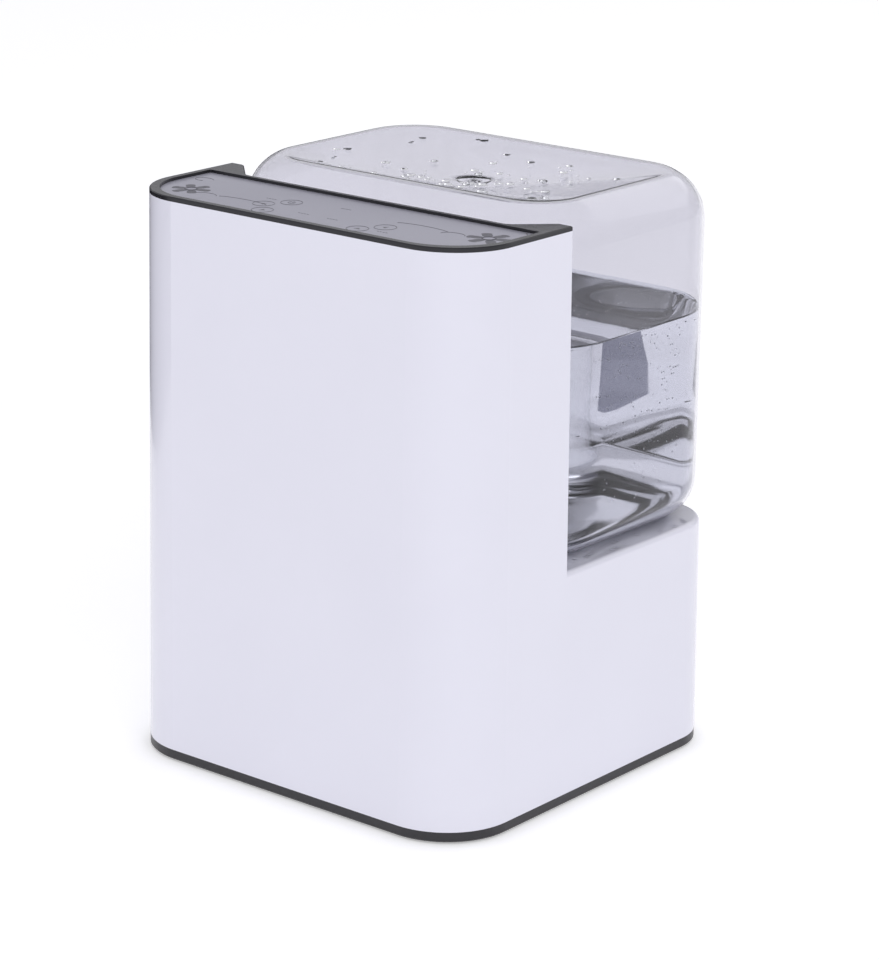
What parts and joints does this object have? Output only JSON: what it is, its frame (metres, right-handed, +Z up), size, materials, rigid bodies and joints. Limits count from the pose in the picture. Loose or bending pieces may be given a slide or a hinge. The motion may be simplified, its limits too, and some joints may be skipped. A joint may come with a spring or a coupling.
{
  "type": "cool mist humidifier",
  "caption": "Countertop cool mist humidifier: a white drafted housing with a black base and top cover, a touch panel, and a clear lift-off water tank with a valve cap behind the tower.",
  "frame": {"origin": "centre of the overall box, on the floor under the feet", "axes": "+Z up, the plain front faces -Y, the tank is at +Y"},
  "size_m": [0.24, 0.2388, 0.3218],
  "materials": {
    "white_shell": "glossy white moulded plastic",
    "black_plastic": "satin black moulded plastic",
    "cover_plastic": "black plastic with a fine satin top",
    "panel_film": "silver grey printed film",
    "circuit_board": "green solder mask",
    "inner_plastic": "natural grey moulded plastic",
    "fan_plastic": "black fan plastic",
    "steel": "zinc plated steel",
    "copper_winding": "enamelled winding",
    "aluminium_fins": "extruded fins",
    "rubber_pad": "matt rubber",
    "seal_rubber": "silicone seal",
    "ceramic_disc": "silvered piezo disc",
    "led_lens": "clear lens",
    "filter_foam": "open foam",
    "float_plastic": "foamed plastic",
    "tank_clear": "clear blow moulded bottle",
    "cap_plastic": "white moulded plastic",
    "component_case": "moulded component cases"
  },
  "bodies": {
    "housing": {"base_plate": "black_plastic", "foot_pads": "rubber_pad", "base_screws": "steel", "housing_shell": "white_shell", "tower_back_panel": "white_shell", "top_cover": "cover_plastic", "cover_screws": "steel", "control_panel": "panel_film", "control_board": "circuit_board", "control_screws": "steel", "touch_springs": "steel", "indicator_leds": "led_lens", "water_basin": "inner_plastic", "basin_screws": "steel", "valve_pin": "inner_plastic", "chamber_lid": "inner_plastic", "lid_gasket": "seal_rubber", "lid_screws": "steel", "mist_riser": "inner_plastic", "mist_elbow": "inner_plastic", "mist_tail": "inner_plastic", "mist_outlet": "black_plastic", "transducer_disc": "ceramic_disc", "transducer_seal": "seal_rubber", "transducer_plate": "steel", "transducer_screws": "steel", "fan_frame": "fan_plastic", "fan_stator": "copper_winding", "fan_screws": "steel", "level_post": "inner_plastic", "power_board": "circuit_board", "power_transformer": "component_case", "power_capacitors": "component_case", "driver_board": "circuit_board", "heat_sink": "aluminium_fins", "board_screws": "steel", "power_inlet": "black_plastic", "intake_grille": "black_plastic", "intake_filter": "filter_foam"},
    "fan": {"fan_rotor": "fan_plastic", "fan_shaft": "steel"},
    "float": {"level_float": "float_plastic"},
    "tank": {"tank_bottle": "tank_clear", "tank_neck": "tank_clear"},
    "cap": {"tank_cap": "cap_plastic", "cap_seal": "seal_rubber", "valve_spring": "steel"},
    "valve": {"valve_stem": "cap_plastic", "valve_seal": "seal_rubber"}
  },
  "joints": [
    {"name": "fan_spin", "type": "hinge", "parent": "housing", "child": "fan", "pos_m": [0.026, -0.0787, 0.14], "axis": [0, 0, 1], "continuous": true},
    {"name": "float_rise", "type": "slide", "parent": "housing", "child": "float", "axis": [0, 0, 1], "range_m": [0, 0.018]},
    {"name": "tank_lift", "type": "slide", "parent": "housing", "child": "tank", "axis": [0, 0, 1], "range_m": [0, 0.2]},
    {"name": "cap_turn", "type": "hinge", "parent": "tank", "child": "cap", "pos_m": [0, 0.03645, 0.11], "axis": [0, 0, -1], "range_deg": [0, 450]},
    {"name": "valve_press", "type": "slide", "parent": "cap", "child": "valve", "axis": [0, 0, 1], "range_m": [0, 0.004], "stiffness_N_per_m": 300, "springref_m": -0.003, "deforming": ["valve_spring"]}
  ]
}
